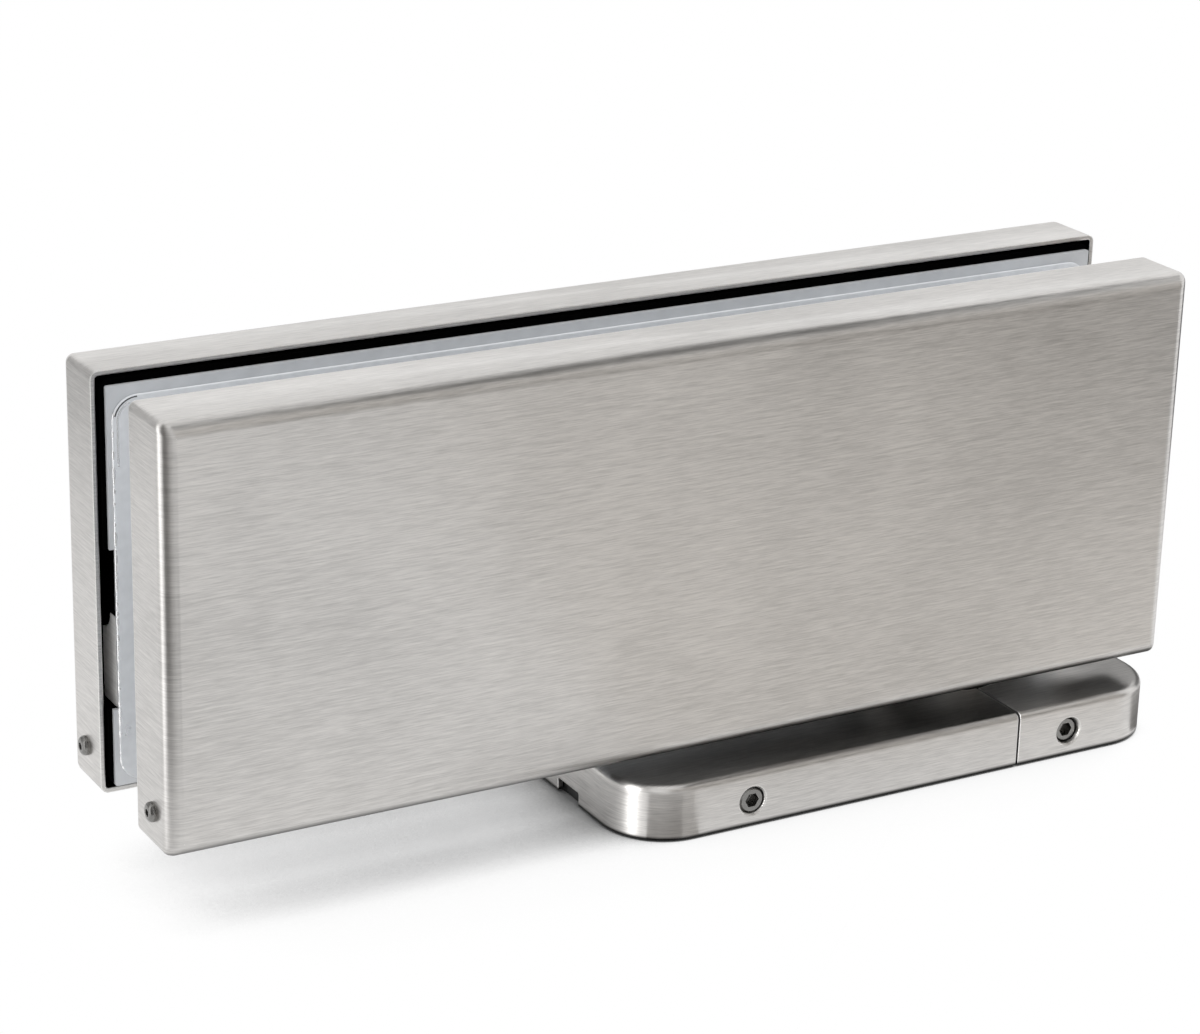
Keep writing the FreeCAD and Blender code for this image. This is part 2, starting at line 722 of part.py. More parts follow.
def make_clamp_bolts():
    """Socket head bolts from the front body into the rear bar, and the sleeves they carry in the glass."""
    bolt = new_body("clamp_bolt")
    shank = "bolt_diameter / 2"
    head = "bolt_head_diameter / 2"
    sketch = sketch_on(bolt, "XZ")
    outline(sketch, [
        ("0", "-bolt_length"), (shank, "-bolt_length"), (shank, "0"),
        (head, "0"), (head, "bolt_head_height"), ("0", "bolt_head_height"),
    ])
    spin(bolt, sketch)
    drill_socket(bolt, "bolt_head_height", "bolt_socket", "bolt_socket_depth")
    copies("clamp_bolts", bolt, [(x, f"-{BOLT_SEAT}", BOLT_HEIGHT, FACES_FRONT) for x in BOLT_PLACES])

    sleeve = new_body("clamp_sleeve")
    half = f"({PLATE_FACE} - sleeve_end_gap)"
    sketch = sketch_on(sleeve, "XZ")
    rectangle(sketch, SLEEVE_BORE, SLEEVE_OUTSIDE, f"-{half}", half)
    spin(sleeve, sketch)
    copies("clamp_sleeves", sleeve, [(x, "0", BOLT_HEIGHT, FACES_FRONT) for x in BOLT_PLACES])


def make_block_screws():
    """Countersunk screws through the bodies into the pivot block."""
    screw = new_body("block_screw")
    shank = "block_screw_diameter / 2"
    sketch = sketch_on(screw, "XZ")
    outline(sketch, [
        ("0", "-block_screw_length"), (shank, "-block_screw_length"),
        (shank, f"-{BLOCK_SCREW_CONE}"), ("block_screw_head / 2", "0"), ("0", "0"),
    ])
    spin(screw, sketch)
    drill_socket(screw, "0", "block_screw_socket", "block_screw_socket_depth")
    places = []
    for sign, turn in ((-1, FACES_FRONT), (1, FACES_REAR)):
        for x in ("-block_screw_x", "block_screw_x"):
            places.append((x, f"{sign} * {BODY_BACK}", BLOCK_SCREW_HEIGHT, turn))
    copies("pivot_block_screws", screw, places)


def make_set_screws():
    """Socket set screws that reach from the floor plate into the base's two covers."""
    screw = new_body("set_screw")
    sketch = sketch_on(screw, "XZ")
    rectangle(sketch, "0", "set_screw_diameter / 2", "-set_screw_length", "0")
    spin(screw, sketch)
    ends = either(lies_at("z", "0"), lies_at("z", "-set_screw_length"))
    bevel(screw, "set_screw_chamfer", both(ends, is_circle(worth("set_screw_diameter / 2"), "x", 0)))
    drill_socket(screw, "0", "set_screw_socket", "set_screw_socket_depth")
    for name, x, recess in (
        ("base_shell_set_screws", SHELL_SCREW_X, "shell_screw_recess"),
        ("end_cap_set_screws", CAP_SCREW_X, "cap_screw_recess"),
    ):
        depth = f"({BASE_SIDE} - {recess})"
        copies(name, screw, [
            (x, f"-{depth}", "set_screw_height", FACES_FRONT),
            (x, depth, "set_screw_height", FACES_REAR),
        ])


# Pivot

def make_pivot_block():
    """Bearing block between the two bodies, bored from below for the thrust bearing and the bushes."""
    body = node(new_body("pivot_block"))
    sketch = sketch_on(body, "XY", BODY_BOTTOM)
    rectangle(sketch, "-block_width / 2", "block_width / 2", f"-{BLOCK_SIDE}", BLOCK_SIDE)
    grow(body, sketch, f"{BLOCK_TOP} - {BODY_BOTTOM}")
    bevel(body, "block_chamfer", either(lies_at("z", BLOCK_TOP), runs_along("z")))
    for radius, top in ((BEARING_BORE, UPPER_RACE_TOP), (BLOCK_BORE, BORE_TOP)):
        bore = sketch_on(body, "XY", BODY_BOTTOM)
        circle(bore, "0", "0", radius)
        cut_along(body, bore, f"{top} - {BODY_BOTTOM}")
    for side in SIDES:
        holes = sketch_beside(body, side, BLOCK_SIDE)
        for x in ("-block_screw_x", "block_screw_x"):
            circle(holes, x, BLOCK_SCREW_HEIGHT, "block_screw_diameter / 2 + thread_gap")
        depth = f"{BLOCK_SIDE} - {BODY_BACK} + block_screw_length + block_screw_tip_room"
        cut_inwards(body, side, holes, depth)


def make_bearings():
    """Two plain bushes, and the races, balls and cage of the thrust bearing."""
    ring("lower_bush", BUSH_BORE, BUSH_OUTSIDE, UPPER_RACE_TOP, LOWER_BUSH_TOP)
    ring("upper_bush", BUSH_BORE, BUSH_OUTSIDE, UPPER_BUSH_BOTTOM, UPPER_BUSH_TOP)
    races = (
        ("thrust_lower_race", f"{JOURNAL} + race_fit", f"{RACE_OUTSIDE} - race_running_gap",
         SHOULDER_TOP, LOWER_RACE_TOP),
        ("thrust_upper_race", f"{JOURNAL} + race_bore_gap", RACE_OUTSIDE,
         UPPER_RACE_BOTTOM, UPPER_RACE_TOP),
    )
    for name, inside, outside, low, high in races:
        race = ring(name, inside, outside, low, high)
        track = sketch_on(race, "XZ")
        circle(track, BALL_PITCH, BALL_HEIGHT, "ball_diameter / 2 + ball_gap")
        spin(race, track, "Groove")
    make_cage()
    ball = doc.addObject("Part::Sphere", "ball")
    ball.setExpression("Radius", bound("ball_diameter / 2"))
    places = []
    for index in range(BALL_COUNT):
        turn = 360 * index / BALL_COUNT
        places.append((f"{BALL_PITCH} * cos({turn})", f"{BALL_PITCH} * sin({turn})", BALL_HEIGHT, UPRIGHT))
    copies("thrust_balls", ball, places)


def make_cage():
    """Flat ring with a pocket for each ball."""
    half = "cage_thickness / 2"
    cage = ring(
        "thrust_ball_cage", f"{BALL_PITCH} - cage_width / 2", f"{BALL_PITCH} + cage_width / 2",
        f"{BALL_HEIGHT} - {half}", f"{BALL_HEIGHT} + {half}",
    )
    sketch = sketch_on(cage, "XY", BALL_HEIGHT)
    circle(sketch, BALL_PITCH, "0", "ball_diameter / 2 + cage_pocket_gap")
    pocket = cut_through(cage, sketch)
    pattern = cage.newObject("PartDesign::PolarPattern", "cage_pockets")
    pattern.Originals = [pocket]
    pattern.Axis = (sketch, ["N_Axis"])
    pattern.Angle = 360
    pattern.Occurrences = BALL_COUNT
    cage.Tip = pattern


def make_seal():
    """Rubber ring in the mouth of the block, with a lip towards the spindle."""
    body = node(new_body("dust_seal"))
    lip_top = f"{BODY_BOTTOM} + seal_lip_height"
    wall = f"{RACE_OUTSIDE} - seal_wall"
    sketch = sketch_on(body, "XZ")
    outline(sketch, [
        (SEAL_LIP, BODY_BOTTOM), (RACE_OUTSIDE, BODY_BOTTOM), (RACE_OUTSIDE, SEAL_TOP),
        (wall, SEAL_TOP), (wall, lip_top), (SEAL_LIP, lip_top),
    ])
    spin(body, sketch)


def make_spindle():
    """Fixed spindle: square foot, thrust shoulder and journal."""
    body = node(new_body("pivot_spindle"))
    foot = sketch_on(body, "XY")
    rectangle(foot, "-foot_width / 2", "foot_width / 2", "-foot_width / 2", "foot_width / 2")
    grow(body, foot, "foot_height")
    for radius, top in ((SHOULDER, SHOULDER_TOP), (JOURNAL, SPINDLE_TOP)):
        sketch = sketch_on(body, "XY")
        circle(sketch, "0", "0", radius)
        grow(body, sketch, top)
    bevel(body, "journal_chamfer", lies_at("z", SPINDLE_TOP))


# Floor base

def make_floor_plate():
    """Plate screwed to the floor, with a recess below for the spindle's foot."""
    body = node(new_body("floor_plate"))
    sketch = sketch_on(body, "XY")
    rectangle(sketch, FLOOR_PLATE_LEFT, FLOOR_PLATE_RIGHT, f"-{FLOOR_PLATE_SIDE}", FLOOR_PLATE_SIDE)
    grow(body, sketch, FLOOR_PLATE_TOP)
    round_off(body, "base_corner - base_wall - floor_plate_gap", runs_along("z"))
    recess = sketch_on(body, "XY")
    half = "(foot_width / 2 + foot_gap)"
    rectangle(recess, f"-{half}", half, f"-{half}", half)
    cut_along(body, recess, "foot_height")
    bore = sketch_on(body, "XY")
    circle(bore, "0", "0", f"{SHOULDER} + foot_gap")
    cut_through(body, bore)
    holes = sketch_on(body, "XY")
    for x in FLOOR_HOLES_X:
        for y in FLOOR_HOLES_Y:
            circle(holes, x, y, "floor_hole_diameter / 2")
    cut_through(body, holes)
    hole_mouths = []
    for y in FLOOR_HOLES_Y:
        hole_mouths.append(is_circle(worth("floor_hole_diameter / 2"), "y", worth(y)))
    bevel(body, "floor_hole_countersink", both(lies_at("z", FLOOR_PLATE_TOP), either(*hole_mouths)))
    for side in SIDES:
        threads = sketch_beside(body, side, FLOOR_PLATE_SIDE)
        for x in (SHELL_SCREW_X, CAP_SCREW_X):
            circle(threads, x, "set_screw_height", "set_screw_diameter / 2 + thread_gap")
        cut_inwards(body, side, threads, f"{FLOOR_PLATE_SIDE} - {SET_SCREW_TIP}")


def make_base_cover(name, left, right, outer_end, inner_end, screw_x):
    """Slide-on cover of the base: closed at its outer end, open below and at the parting."""
    body = node(new_body(name))
    sketch = sketch_on(body, "XY", "base_lift")
    rectangle(sketch, left, right, f"-{BASE_SIDE}", BASE_SIDE)
    grow(body, sketch, "base_height - base_lift")
    round_off(body, "base_corner", both(runs_along("z"), lies_at("x", outer_end)))
    at_parting = lies_at("x", inner_end)
    top = lies_at("z", "base_height")
    round_off(body, "base_edge", lambda edge: top(edge) and not at_parting(edge))
    hollow(body, "base_wall", either(lies_at("z", "base_lift"), at_parting))
    passage = sketch_on(body, "XY")
    circle(passage, "0", "0", f"{SHOULDER} + shell_spindle_gap")
    cut_through(body, passage)
    holes = sketch_on(body, "XZ")
    hole_radius = "set_screw_diameter / 2 + set_screw_hole_gap"
    circle(holes, screw_x, "set_screw_height", hole_radius)
    cut_through(body, holes)
    outside = either(lies_at("y", BASE_SIDE), lies_at("y", f"-{BASE_SIDE}"))
    bevel(body, "set_screw_mouth", both(outside, is_circle(worth(hole_radius), "x", worth(screw_x))))
    return body


def make_base_covers():
    """The long shell with its prying notch, and the short end cap, parted at the pivot axis."""
    shell = make_base_cover(
        "base_shell", "-shell_reach", "-parting_gap / 2", "-shell_reach", "-parting_gap / 2", SHELL_SCREW_X,
    )
    notch = sketch_on(shell, "YZ", f"-shell_reach - {OVERCUT}")
    rectangle(notch, "-notch_width / 2", "notch_width / 2", f"base_lift - {OVERCUT}", "notch_height")
    cut_along(shell, notch, f"{OVERCUT} + base_wall")
    round_off(shell, "notch_corner", both(runs_along("x"), lies_at("z", "notch_height")))
    make_base_cover(
        "base_end_cap", "parting_gap / 2", "cap_reach", "cap_reach", "parting_gap / 2", CAP_SCREW_X,
    )


# Checks and files

def check_document():
    """Stop if an object failed, a cut missed the metal or a piece has no sound solid."""
    doc.recompute()
    for item in doc.Objects:
        if "Invalid" in item.State or "Error" in item.State:
            raise RuntimeError(f"{item.Name} failed: {item.State}")
        if item.TypeId in ("PartDesign::Pocket", "PartDesign::Groove"):
            if item.Shape.Volume >= item.BaseFeature.Shape.Volume - TOUCH:
                raise RuntimeError(f"{item.Name} cuts nothing")
    for item in nodes:
        if item.Shape.isNull() or not item.Shape.isValid() or not item.Shape.Solids:
            raise RuntimeError(f"{item.Label} has no sound solid")


def write_parts():
    """Write each piece to a file of its own name."""
    os.makedirs("parts", exist_ok=True)
    for item in nodes:
        item.Shape.exportStep(f"parts/{item.Label}.step")


fill_sheet()
for half in SIDES:
    make_cover(half)
    make_body(half)
    make_plate(half)
    make_pad(half)
    make_bar(half)
make_cover_screws()
make_clamp_bolts()
make_block_screws()
make_pivot_block()
make_bearings()
make_seal()
make_spindle()
make_floor_plate()
make_base_covers()
make_set_screws()
check_document()
write_parts()
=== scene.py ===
"""Looks of the free swing door hinge: finishes, small trim, stage, light and camera.

Metres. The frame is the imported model's own: the origin is the pivot axis at floor level, +X runs to
the hinge edge of the door, +Y to the back and +Z up.
"""

import json
import logging
import math
import random
from dataclasses import dataclass
from enum import Enum, StrEnum
from typing import Any, Mapping, Optional, Sequence, Union

import bmesh
import bpy
from mathutils import Matrix, Vector


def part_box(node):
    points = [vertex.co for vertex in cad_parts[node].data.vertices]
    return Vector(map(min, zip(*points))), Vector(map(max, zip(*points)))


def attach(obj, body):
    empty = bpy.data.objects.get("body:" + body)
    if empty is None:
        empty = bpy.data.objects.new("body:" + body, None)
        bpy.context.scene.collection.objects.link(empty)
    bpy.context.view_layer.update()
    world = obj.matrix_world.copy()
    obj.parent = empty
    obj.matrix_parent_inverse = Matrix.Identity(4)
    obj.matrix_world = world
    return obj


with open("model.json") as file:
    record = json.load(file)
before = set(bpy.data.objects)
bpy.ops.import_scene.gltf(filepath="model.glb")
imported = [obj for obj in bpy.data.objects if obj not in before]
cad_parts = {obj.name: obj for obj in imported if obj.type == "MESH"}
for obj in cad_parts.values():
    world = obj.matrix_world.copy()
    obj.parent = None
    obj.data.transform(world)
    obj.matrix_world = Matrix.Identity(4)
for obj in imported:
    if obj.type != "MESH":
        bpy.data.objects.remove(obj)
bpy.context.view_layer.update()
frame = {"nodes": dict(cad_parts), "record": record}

ACROSS = Vector((0.0, 1.0, 0.0))
Colour = tuple[float, float, float]
Point = tuple[float, float, float]
WHITE: Colour = (1.0, 1.0, 1.0)

log = logging.getLogger("hinge")


def opaque(colour: Colour) -> tuple[float, float, float, float]:
    """Return a colour with full alpha, as a colour socket takes it."""
    return (*colour, 1.0)


def new_piece(
    name: str, vertices: Sequence[Sequence[float]], faces: Sequence[Sequence[int]],
) -> bpy.types.Object:
    """Make an object from points and faces, and put it in the scene.

    Args:
        name: the name of the object and its mesh.
        vertices: the points.
        faces: the numbers of each face's points.

    Returns:
        The object.
    """
    mesh = bpy.data.meshes.new(name)
    mesh.from_pydata(vertices, [], faces)
    piece = bpy.data.objects.new(name, mesh)
    bpy.context.scene.collection.objects.link(piece)
    return piece


class Socket:
    """A shader output that does maths: each operator adds a Math node."""

    def __init__(self, graph: "Graph", output: bpy.types.NodeSocket) -> None:
        """Wrap one output of a node of a graph."""
        self.graph = graph
        self.output = output

    def maths(self, operation: str, *values: Any) -> "Socket":
        """Add a Math node.

        Args:
            operation: Blender's name of the operation.
            values: numbers or sockets, in the node's order.

        Returns:
            The node's result.
        """
        return self.graph.node("ShaderNodeMath", {"operation": operation}, dict(enumerate(values)))

    def sibling(self, name: str) -> "Socket":
        """Return another output of the same node."""
        return Socket(self.graph, self.output.node.outputs[name])

    def __add__(self, other: Any) -> "Socket":
        """Return this plus other."""
        return self.maths("ADD", self, other)

    __radd__ = __add__

    def __sub__(self, other: Any) -> "Socket":
        """Return this minus other."""
        return self.maths("SUBTRACT", self, other)

    def __rsub__(self, other: Any) -> "Socket":
        """Return other minus this."""
        return self.maths("SUBTRACT", other, self)

    def __mul__(self, other: Any) -> "Socket":
        """Return this times other."""
        return self.maths("MULTIPLY", self, other)

    __rmul__ = __mul__

    def __pow__(self, exponent: Any) -> "Socket":
        """Return this to the power of exponent."""
        return self.maths("POWER", self, exponent)

    def __abs__(self) -> "Socket":
        """Return this without its sign."""
        return self.maths("ABSOLUTE", self)

    def at_least(self, other: Any) -> "Socket":
        """Return the larger of two values."""
        return self.maths("MAXIMUM", self, other)

    def between(self, low: float, high: float) -> "Socket":
        """Return a smooth step from 0 at low to 1 at high."""
        inputs = {"Value": self, "From Min": low, "From Max": high}
        return self.graph.node("ShaderNodeMapRange", {"interpolation_type": "SMOOTHSTEP"}, inputs)


# The Mix node's sockets for colours, by number because their names repeat
MIX_SHARE = 0
MIX_ONE = 6
MIX_OTHER = 7
MIX_RESULT = 2

# The height of a face's normal up to which it counts as upright, and from which it counts as level
LEVEL_RANGE = (0.55, 0.85)


class Graph:
    """The node tree of one material, or of the world."""

    def __init__(self, tree: bpy.types.NodeTree) -> None:
        """Start from an empty tree."""
        self.tree = tree
        tree.nodes.clear()

    def node(
        self,
        kind: str,
        settings: Optional[Mapping[str, Any]] = None,
        inputs: Optional[Mapping[Union[int, str], Any]] = None,
        output: Union[int, str] = 0,
    ) -> Socket:
        """Add a node.

        Args:
            kind: Blender's type of the node.
            settings: the node's own properties, set first.
            inputs: a number, a vector or a socket for each named or numbered input.
            output: which of its outputs is wanted.

        Returns:
            That output.
        """
        made = self.tree.nodes.new(kind)
        for name, value in (settings or {}).items():
            setattr(made, name, value)
        for name, value in (inputs or {}).items():
            if isinstance(value, Socket):
                self.tree.links.new(value.output, made.inputs[name])
            else:
                made.inputs[name].default_value = value
        return Socket(self, made.outputs[output] if len(made.outputs) else made.inputs[0])

    def place(self) -> Socket:
        """Return the place on the piece, in its own frame."""
        return self.node("ShaderNodeTexCoord", output="Object")

    def noise_at(self, place: Socket, detail: float, roughness: float = 0.5) -> Socket:
        """Return noise, about 0.5, with one feature to each unit of a place."""
        inputs = {"Vector": place, "Scale": 1.0, "Detail": detail, "Roughness": roughness}
        return self.node("ShaderNodeTexNoise", None, inputs)

    def noise(self, across: Sequence[float], detail: float, roughness: float = 0.5) -> Socket:
        """Return noise, about 0.5, with this many features to a metre along each axis."""
        inputs = {0: self.place(), 1: across}
        return self.noise_at(
            self.node("ShaderNodeVectorMath", {"operation": "MULTIPLY"}, inputs), detail, roughness,
        )

    def mix(self, share: Any, one: Any, other: Any) -> Socket:
        """Return one value turning into another as share goes from 0 to 1."""
        return self.node("ShaderNodeMix", {"data_type": "FLOAT"}, {"Factor": share, "A": one, "B": other})

    def tint(self, share: Any, one: Any, other: Any) -> Socket:
        """Mix two colours.

        Args:
            share: 0 for the one and 1 for the other, a number or a socket.
            one: a colour or a socket.
            other: a colour or a socket.

        Returns:
            The mixed colour.
        """
        inputs = {MIX_SHARE: share, MIX_ONE: one, MIX_OTHER: other}
        for number in (MIX_ONE, MIX_OTHER):
            if not isinstance(inputs[number], Socket):
                inputs[number] = opaque(inputs[number])
        return self.node("ShaderNodeMix", {"data_type": "RGBA", "blend_type": "MIX"}, inputs, MIX_RESULT)

    def facing_up(self) -> Socket:
        """Return how far a face looks up: 1 straight up, 0 upright and -1 straight down."""
        normal = self.node("ShaderNodeNewGeometry", output="Normal")
        return self.node("ShaderNodeSeparateXYZ", None, {0: normal}, "Z")

    def level(self) -> Socket:
        """Return 1 on faces that look up or down, and 0 on upright ones."""
        return abs(self.facing_up()).between(*LEVEL_RANGE)


def new_material(name: str) -> tuple[bpy.types.Material, Graph]:
    """Make a material without nodes.

    Args:
        name: the material's name.

    Returns:
        The material and its empty graph.
    """
    material = bpy.data.materials.new(name)
    material.use_nodes = True
    return material, Graph(material.node_tree)


class Grain(Enum):
    """How a surface was worked."""

    BRUSHED = "brushed along the length and round the sides"
    TURNED = "turned about the pivot axis"
    CAST = "cast and coated"
    MOULDED = "moulded smooth"


# The layers of every finish's grain: its own noise, a coarser one and wide clouds
NOISE_MEAN = 0.5
GRAIN_DETAIL = {Grain.BRUSHED: 3.0, Grain.TURNED: 3.0, Grain.CAST: 4.0, Grain.MOULDED: 1.5}
GRAIN_ROUGHNESS = 0.6
COARSE_SIZE = 2.4
COARSE_SHARE = 0.5
COARSE_BUMP = 0.3
CLOUDS_PER_METRE = 25.0
CLOUD_DETAIL = 2.0
CLOUD_SHARE = 0.5

# Where every finish gets painted shade on faces that look down and a painted highlight on its rounded
# edges, and where its painted contact shadow at the floor starts to fade
UNDERSIDE_SHADE_RANGE = (0.15, 1.0)
EDGE_HIGHLIGHT_RANGE = (0.01, 0.12)
CONTACT_SHADOW_FADE = 0.4

EDGE_SAMPLES = 6
QUARTER_TURN = 0.25


@dataclass(frozen=True)
class Finish:
    """The look of one material slot.

    Grain sizes are in metres, and only the streaks of a brushed grain have a length. The shares say how
    far the grain moves the colour and the roughness. Edge is the radius of the rounded edges, and the edge
    highlight is how much lighter they are painted. The share of the colour that is left on faces that look
    down is painted shade, and foot is the height of the painted contact shadow at the floor.
    """

    slot: str
    colour: Colour
    metallic: float
    roughness: float
    grain: Grain
    grain_width: float
    grain_depth: float
    colour_share: float
    roughness_share: float
    grain_length: float = 0.004
    anisotropy: float = 0.0
    coat: float = 0.0
    specular: float = 0.5
    edge: float = 0.0
    edge_highlight: float = 0.0
    underside_shade: float = 1.0
    foot: float = 0.0
    contact_shadow_colour: Colour = (0.02, 0.02, 0.02)

    def scaled(self, share: float) -> Colour:
        """Return the colour times a number, no lighter than white."""
        return tuple(min(1.0, part * share) for part in self.colour)

    def streaks(self, graph: Graph, coarser: float = 1.0) -> Socket:
        """Make the grain's height, about 0.5.

        Args:
            graph: the material's nodes.
            coarser: how many times larger than the grain's own sizes.

        Returns:
            The height of the grain.
        """
        along = 1.0 / (self.grain_length * coarser)
        fine = 1.0 / (self.grain_width * coarser)
        detail = GRAIN_DETAIL[self.grain]
        if self.grain is Grain.BRUSHED:
            sides = graph.noise((along, along, fine), detail, GRAIN_ROUGHNESS)
            tops = graph.noise((along, fine, along), detail, GRAIN_ROUGHNESS)
            return graph.mix(graph.level(), sides, tops)
        if self.grain is Grain.TURNED:
            x = graph.node("ShaderNodeSeparateXYZ", None, {0: graph.place()})
            y = x.sibling("Y")
            z = x.sibling("Z")
            radius = (x * x + y * y) ** 0.5
            # The third axis only gives each layer a slice of noise of its own
            ring = graph.node("ShaderNodeCombineXYZ", None, {0: radius * fine, 1: z * fine, 2: along})
            return graph.noise_at(ring, detail)
        return graph.noise((fine, fine, fine), detail, GRAIN_ROUGHNESS)

    def shades(self, graph: Graph, wave: Socket, rounded: Optional[Socket]) -> Socket:
        """Make the colour: streaked, with painted shade facing down, painted edge highlights and a painted
        contact shadow at the foot.

        Args:
            graph: the material's nodes.
            wave: the height of all layers of the grain, about 0.
            rounded: the normal with rounded edges, where the finish has them.

        Returns:
            The colour.
        """
        light = self.scaled(1.0 + self.colour_share)
        dark = self.scaled(1.0 - self.colour_share)
        colour = graph.tint((wave + NOISE_MEAN).between(0.0, 1.0), dark, light)
        # Painted shade: faces that look down are darkened to a small share of their colour.
        if self.underside_shade < 1.0:
            below = (graph.facing_up() * -1.0).between(*UNDERSIDE_SHADE_RANGE)
            colour = graph.tint(below, colour, self.scaled(self.underside_shade))
        # Painted highlight: the rounded edges are made lighter.
        if rounded is not None and self.edge_highlight:
            normals = {0: rounded, 1: graph.node("ShaderNodeNewGeometry", output="Normal")}
            likeness = graph.node("ShaderNodeVectorMath", {"operation": "DOT_PRODUCT"}, normals, "Value")
            highlight_on_edge = (1.0 - likeness).between(*EDGE_HIGHLIGHT_RANGE)
            colour = graph.tint(highlight_on_edge, colour, self.scaled(1.0 + self.edge_highlight))
        # Painted contact shadow: a dark line along the bottom, just above the floor.
        if self.foot:
            height = graph.node("ShaderNodeSeparateXYZ", None, {0: graph.place()}, "Z")
            above = height.between(self.foot * CONTACT_SHADOW_FADE, self.foot)
            colour = graph.tint(above, self.contact_shadow_colour, colour)
        return colour

    def build(self) -> bpy.types.Material:
        """Make the material.

        Returns:
            The material, named after its slot.
        """
        material, graph = new_material(self.slot)
        grain = self.streaks(graph)
        coarse = self.streaks(graph, COARSE_SIZE)
        cloud = graph.noise((CLOUDS_PER_METRE,) * 3, CLOUD_DETAIL)
        streaked = (grain - NOISE_MEAN) + (coarse - NOISE_MEAN) * COARSE_SHARE
        wave = streaked + (cloud - NOISE_MEAN) * CLOUD_SHARE
        bump = {"Height": grain + coarse * COARSE_BUMP, "Strength": 1.0, "Distance": self.grain_depth}
        rounded = None
        if self.edge:
            rounded = graph.node("ShaderNodeBevel", {"samples": EDGE_SAMPLES}, {"Radius": self.edge})
            bump["Normal"] = rounded
        shader = graph.node("ShaderNodeBsdfPrincipled", None, {
            "Base Color": self.shades(graph, wave, rounded),
            "Metallic": self.metallic,
            "Roughness": wave * self.roughness_share + self.roughness,
            "Normal": graph.node("ShaderNodeBump", None, bump),
            "Anisotropic": self.anisotropy,
            "Anisotropic Rotation": QUARTER_TURN,
            "Coat Weight": self.coat,
            "Specular IOR Level": self.specular,
        })
        graph.node("ShaderNodeOutputMaterial", None, {"Surface": shader})
        return material


FINISHES = (
    # Steel with painted shade on faces that look down, painted edge highlights and a painted contact shadow.
    Finish(
        slot="satin_steel", colour=(0.635, 0.620, 0.602), metallic=1.0, roughness=0.32, grain=Grain.BRUSHED,
        grain_width=0.00018, grain_depth=0.000006, colour_share=0.265, roughness_share=0.12, anisotropy=0.8,
        edge=0.0004, edge_highlight=0.6, underside_shade=0.03, foot=0.0012,
    ),
    # A near-black coat, its own black pushed darker to paint the shade in the gap inside the covers.
    Finish(
        slot="black_casting", colour=(0.0006, 0.0006, 0.0007), metallic=0.0, roughness=0.7, grain=Grain.CAST,
        grain_width=0.0009, grain_depth=0.00003, colour_share=0.4, roughness_share=0.15, specular=0.01,
    ),
    Finish(
        slot="grey_plate", colour=(0.70, 0.715, 0.735), metallic=0.3, roughness=0.36, grain=Grain.MOULDED,
        grain_width=0.003, grain_depth=0.000004, colour_share=0.06, roughness_share=0.08, edge=0.0002,
    ),
    Finish(
        slot="glass_pad", colour=(0.84, 0.86, 0.885), metallic=0.0, roughness=0.36, grain=Grain.MOULDED,
        grain_width=0.002, grain_depth=0.00001, colour_share=0.06, roughness_share=0.10, coat=0.2,
        edge=0.0002,
    ),
    Finish(
        slot="bar_steel", colour=(0.80, 0.79, 0.775), metallic=0.15, roughness=0.42, grain=Grain.BRUSHED,
        grain_length=0.02, grain_width=0.0005, grain_depth=0.000006, colour_share=0.15, roughness_share=0.12,
        edge=0.0003,
    ),
    # The screws' rims get a painted highlight.
    Finish(
        slot="screw_steel", colour=(0.24, 0.236, 0.228), metallic=1.0, roughness=0.28, grain=Grain.MOULDED,
        grain_width=0.0004, grain_depth=0.000003, colour_share=0.10, roughness_share=0.10, edge=0.00015,
        edge_highlight=0.9,
    ),
    Finish(
        slot="dark_steel", colour=(0.10, 0.10, 0.10), metallic=0.9, roughness=0.38, grain=Grain.CAST,
        grain_width=0.0005, grain_depth=0.000006, colour_share=0.2, roughness_share=0.12, edge=0.0001,
    ),
    Finish(
        slot="black_bolt", colour=(0.03, 0.03, 0.033), metallic=0.4, roughness=0.38, grain=Grain.CAST,
        grain_width=0.0006, grain_depth=0.00001, colour_share=0.25, roughness_share=0.12, edge=0.0001,
    ),
    Finish(
        slot="sleeve_plastic", colour=(0.78, 0.78, 0.74), metallic=0.0, roughness=0.40, grain=Grain.MOULDED,
        grain_width=0.0012, grain_depth=0.000008, colour_share=0.05, roughness_share=0.08,
    ),
    Finish(
        slot="machined_steel", colour=(0.46, 0.46, 0.455), metallic=1.0, roughness=0.32, grain=Grain.TURNED,
        grain_width=0.0003, grain_depth=0.000006, colour_share=0.12, roughness_share=0.12, edge=0.0002,
    ),
    Finish(
        slot="bush_bronze", colour=(0.56, 0.36, 0.16), metallic=1.0, roughness=0.40, grain=Grain.TURNED,
        grain_width=0.0004, grain_depth=0.000008, colour_share=0.15, roughness_share=0.12,
    ),
    Finish(
        slot="bearing_steel", colour=(0.68, 0.68, 0.69), metallic=1.0, roughness=0.12, grain=Grain.TURNED,
        grain_width=0.0003, grain_depth=0.000002, colour_share=0.05, roughness_share=0.05,
    ),
    Finish(
        slot="cage_brass", colour=(0.68, 0.50, 0.22), metallic=1.0, roughness=0.28, grain=Grain.MOULDED,
        grain_width=0.0008, grain_depth=0.000006, colour_share=0.10, roughness_share=0.10,
    ),
    Finish(
        slot="seal_rubber", colour=(0.02, 0.02, 0.02), metallic=0.0, roughness=0.55, grain=Grain.MOULDED,
        grain_width=0.0006, grain_depth=0.00001, colour_share=0.25, roughness_share=0.10,
    ),
)
LIP_FINISH = Finish(
    slot="pad_lip", colour=(0.95, 0.955, 0.96), metallic=0.85, roughness=0.20, grain=Grain.MOULDED,
    grain_width=0.0008, grain_depth=0.00001, colour_share=0.04, roughness_share=0.10, coat=0.4,
)
